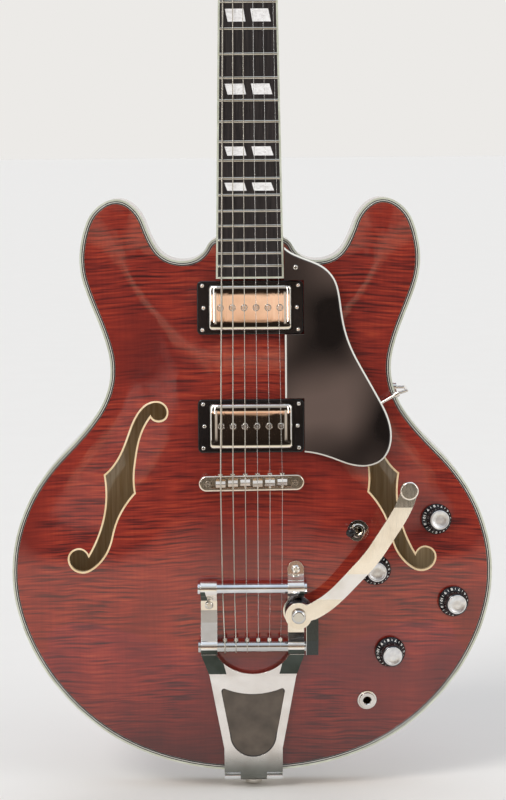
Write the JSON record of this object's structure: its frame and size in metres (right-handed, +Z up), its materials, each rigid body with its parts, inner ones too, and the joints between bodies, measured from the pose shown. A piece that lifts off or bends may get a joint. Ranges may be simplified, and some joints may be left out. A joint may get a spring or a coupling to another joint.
{
  "type": "semi-hollow electric guitar",
  "caption": "Semi-hollow electric guitar with an arched flamed top, f-holes, a raised pickguard, covered pickups and a spring vibrato tailpiece with a swinging arm.",
  "frame": {"origin": "on the axis of the tail strap button, at the outer edge of its head's straight side, halfway through the rim's depth", "axes": "+Z up the body and along the neck, -Y out of the front, +X towards the treble side"},
  "size_m": [0.4098, 0.1196, 1.0747],
  "materials": {
    "red_lacquered_maple": "clear gloss lacquer over a cherry stain on flamed maple",
    "cream_binding": "polished celluloid, cream",
    "bare_maple": "bare sawn maple",
    "rod_steel": "plain steel rod",
    "black_headstock": "black lacquered wood veneer",
    "ebony": "oiled ebony, fine open pores",
    "pearl": "pearl acrylic, cloudy",
    "fret_metal": "polished nickel silver wire",
    "bone": "polished bone",
    "black_plastic": "moulded black plastic",
    "nickel": "nickel plate, polished",
    "tuner_metal": "nickel plate, polished",
    "saddle_metal": "nickel plate, worn",
    "bridge_nickel": "warm nickel plate",
    "cover_nickel": "nickel silver cover, mirror polish",
    "coil_copper": "enamelled copper wire on a bobbin",
    "screw_nickel": "nickelled steel screws",
    "knob_black": "black plastic skirt with a spun metal cap",
    "pot_metal": "tinned steel can with a brass bush",
    "switch_nickel": "nickel plate, polished",
    "guard_black": "black and white laminated sheet, polished",
    "vibrato_aluminium": "cast aluminium, satin with polished edges",
    "bearing_brass": "needle bearing sleeve",
    "bar_steel": "polished stainless steel",
    "spring_steel": "dark spring steel",
    "strap_nickel": "nickelled steel with a felt washer",
    "string_steel": "nickel wound and plain steel strings"
  },
  "bodies": {
    "guitar": {"body_top": "red_lacquered_maple", "body_back": "red_lacquered_maple", "body_binding": "cream_binding", "body_rim": "red_lacquered_maple", "centre_block": "bare_maple", "f_hole_binding": "cream_binding", "neck": "red_lacquered_maple", "truss_rod": "rod_steel", "headstock_veneer": "black_headstock", "fretboard": "ebony", "fretboard_binding": "cream_binding", "fret_inlays": "pearl", "frets": "fret_metal", "nut": "bone", "truss_rod_cover": "black_plastic", "tuner_housings": "tuner_metal", "bridge_base": "bridge_nickel", "bridge_studs": "bridge_nickel", "pickup_rings": "black_plastic", "pickup_covers": "cover_nickel", "pickup_coils": "coil_copper", "pickup_pole_screws": "screw_nickel", "potentiometers": "pot_metal", "switch_body": "switch_nickel", "output_jack": "switch_nickel", "pickguard": "guard_black", "pickguard_bracket": "nickel", "vibrato_frame": "vibrato_aluminium", "vibrato_bearings": "bearing_brass", "vibrato_spring": "spring_steel", "vibrato_hinge": "vibrato_aluminium", "strap_buttons": "strap_nickel", "strings": "string_steel", "screws": "screw_nickel"},
    "tuner_button_1": {"tuner_button_1": "tuner_metal"},
    "tuner_post_1": {"tuner_post_1": "nickel"},
    "tuner_button_2": {"tuner_button_2": "tuner_metal"},
    "tuner_post_2": {"tuner_post_2": "nickel"},
    "tuner_button_3": {"tuner_button_3": "tuner_metal"},
    "tuner_post_3": {"tuner_post_3": "nickel"},
    "tuner_button_4": {"tuner_button_4": "tuner_metal"},
    "tuner_post_4": {"tuner_post_4": "nickel"},
    "tuner_button_5": {"tuner_button_5": "tuner_metal"},
    "tuner_post_5": {"tuner_post_5": "nickel"},
    "tuner_button_6": {"tuner_button_6": "tuner_metal"},
    "tuner_post_6": {"tuner_post_6": "nickel"},
    "knob_1": {"knob_1": "knob_black"},
    "knob_2": {"knob_2": "knob_black"},
    "knob_3": {"knob_3": "knob_black"},
    "knob_4": {"knob_4": "knob_black"},
    "switch_lever": {"switch_lever": "switch_nickel"},
    "vibrato_string_bar": {"vibrato_string_bar": "bar_steel"},
    "vibrato_arm": {"vibrato_arm": "bar_steel"},
    "tension_bar": {"tension_bar": "bar_steel"},
    "saddle_1": {"saddle_1": "saddle_metal"},
    "saddle_2": {"saddle_2": "saddle_metal"},
    "saddle_3": {"saddle_3": "saddle_metal"},
    "saddle_4": {"saddle_4": "saddle_metal"},
    "saddle_5": {"saddle_5": "saddle_metal"},
    "saddle_6": {"saddle_6": "saddle_metal"}
  },
  "joints": [
    {"name": "tuner_button_1_turn", "type": "hinge", "parent": "guitar", "child": "tuner_button_1", "pos_m": [-0.04237, 0.01298, 0.92976], "axis": [-1, 0, 0], "continuous": true},
    {"name": "tuner_post_1_turn", "type": "hinge", "parent": "guitar", "child": "tuner_post_1", "pos_m": [-0.01937, -0.00361, 0.94246], "axis": [0, -0.9593, 0.2823], "continuous": true},
    {"name": "tuner_button_2_turn", "type": "hinge", "parent": "guitar", "child": "tuner_button_2", "pos_m": [-0.04451, 0.02484, 0.97005], "axis": [-1, 0, 0], "continuous": true},
    {"name": "tuner_post_2_turn", "type": "hinge", "parent": "guitar", "child": "tuner_post_2", "pos_m": [-0.02151, 0.00825, 0.98275], "axis": [0, -0.9593, 0.2823], "continuous": true},
    {"name": "tuner_button_3_turn", "type": "hinge", "parent": "guitar", "child": "tuner_button_3", "pos_m": [-0.04666, 0.0367, 1.01034], "axis": [-1, 0, 0], "continuous": true},
    {"name": "tuner_post_3_turn", "type": "hinge", "parent": "guitar", "child": "tuner_post_3", "pos_m": [-0.02366, 0.02011, 1.02304], "axis": [0, -0.9593, 0.2823], "continuous": true},
    {"name": "tuner_button_4_turn", "type": "hinge", "parent": "guitar", "child": "tuner_button_4", "pos_m": [0.04666, 0.0367, 1.01034], "axis": [1, 0, 0], "continuous": true},
    {"name": "tuner_post_4_turn", "type": "hinge", "parent": "guitar", "child": "tuner_post_4", "pos_m": [0.02366, 0.02011, 1.02304], "axis": [0, -0.9593, 0.2823], "continuous": true},
    {"name": "tuner_button_5_turn", "type": "hinge", "parent": "guitar", "child": "tuner_button_5", "pos_m": [0.04451, 0.02484, 0.97005], "axis": [1, 0, 0], "continuous": true},
    {"name": "tuner_post_5_turn", "type": "hinge", "parent": "guitar", "child": "tuner_post_5", "pos_m": [0.02151, 0.00825, 0.98275], "axis": [0, -0.9593, 0.2823], "continuous": true},
    {"name": "tuner_button_6_turn", "type": "hinge", "parent": "guitar", "child": "tuner_button_6", "pos_m": [0.04237, 0.01298, 0.92976], "axis": [1, 0, 0], "continuous": true},
    {"name": "tuner_post_6_turn", "type": "hinge", "parent": "guitar", "child": "tuner_post_6", "pos_m": [0.01937, -0.00361, 0.94246], "axis": [0, -0.9593, 0.2823], "continuous": true},
    {"name": "knob_1_turn", "type": "hinge", "parent": "guitar", "child": "knob_1", "pos_m": [0.15679, -0.02751, 0.23346], "axis": [0.1479, -0.9864, 0.0716], "range_deg": [-150, 150]},
    {"name": "knob_2_turn", "type": "hinge", "parent": "guitar", "child": "knob_2", "pos_m": [0.10466, -0.03529, 0.19161], "axis": [0.0551, -0.9985, 0.0022], "range_deg": [-150, 150]},
    {"name": "knob_3_turn", "type": "hinge", "parent": "guitar", "child": "knob_3", "pos_m": [0.17138, -0.02642, 0.16238], "axis": [0.1512, -0.9879, -0.0358], "range_deg": [-150, 150]},
    {"name": "knob_4_turn", "type": "hinge", "parent": "guitar", "child": "knob_4", "pos_m": [0.11704, -0.03131, 0.12009], "axis": [0.116, -0.9883, -0.0987], "range_deg": [-150, 150]},
    {"name": "switch_lever_throw", "type": "hinge", "parent": "guitar", "child": "switch_lever", "pos_m": [0.08982, -0.03239, 0.22494], "axis": [0.0407, 0.0205, 0.999], "range_deg": [0, 44]},
    {"name": "string_bar_rock", "type": "hinge", "parent": "guitar", "child": "vibrato_string_bar", "pos_m": [0, -0.04475, 0.1278], "axis": [-1, 0, 0], "range_deg": [-6, 5], "stiffness_Nm_per_rad": 30, "deforming": ["vibrato_spring", "strings"]},
    {"name": "arm_swing", "type": "hinge", "parent": "vibrato_string_bar", "child": "vibrato_arm", "pos_m": [0.0388, -0.05755, 0.1565], "axis": [0, -1, 0], "range_deg": [-100, 4]},
    {"name": "tension_bar_roll", "type": "hinge", "parent": "guitar", "child": "tension_bar", "pos_m": [0, -0.04675, 0.178], "axis": [1, 0, 0], "continuous": true},
    {"name": "saddle_1_slide", "type": "slide", "parent": "guitar", "child": "saddle_1", "axis": [-0.0105, 0, 0.9999], "range_m": [-0.0006, 0.0016]},
    {"name": "saddle_2_slide", "type": "slide", "parent": "guitar", "child": "saddle_2", "axis": [-0.0105, 0, 0.9999], "range_m": [-0.0012, 0.001]},
    {"name": "saddle_3_slide", "type": "slide", "parent": "guitar", "child": "saddle_3", "axis": [-0.0105, 0, 0.9999], "range_m": [-0.0017, 0.0005]},
    {"name": "saddle_4_slide", "type": "slide", "parent": "guitar", "child": "saddle_4", "axis": [-0.0105, 0, 0.9999], "range_m": [-0.0007, 0.0015]},
    {"name": "saddle_5_slide", "type": "slide", "parent": "guitar", "child": "saddle_5", "axis": [-0.0105, 0, 0.9999], "range_m": [-0.0012, 0.001]},
    {"name": "saddle_6_slide", "type": "slide", "parent": "guitar", "child": "saddle_6", "axis": [-0.0105, 0, 0.9999], "range_m": [-0.0017, 0.0005]}
  ],
  "couplings": [
    {"joint": "tuner_post_1_turn", "follows": "tuner_button_1_turn", "ratio": 0.0625},
    {"joint": "tuner_post_2_turn", "follows": "tuner_button_2_turn", "ratio": 0.0625},
    {"joint": "tuner_post_3_turn", "follows": "tuner_button_3_turn", "ratio": 0.0625},
    {"joint": "tuner_post_4_turn", "follows": "tuner_button_4_turn", "ratio": 0.0625},
    {"joint": "tuner_post_5_turn", "follows": "tuner_button_5_turn", "ratio": 0.0625},
    {"joint": "tuner_post_6_turn", "follows": "tuner_button_6_turn", "ratio": 0.0625}
  ]
}
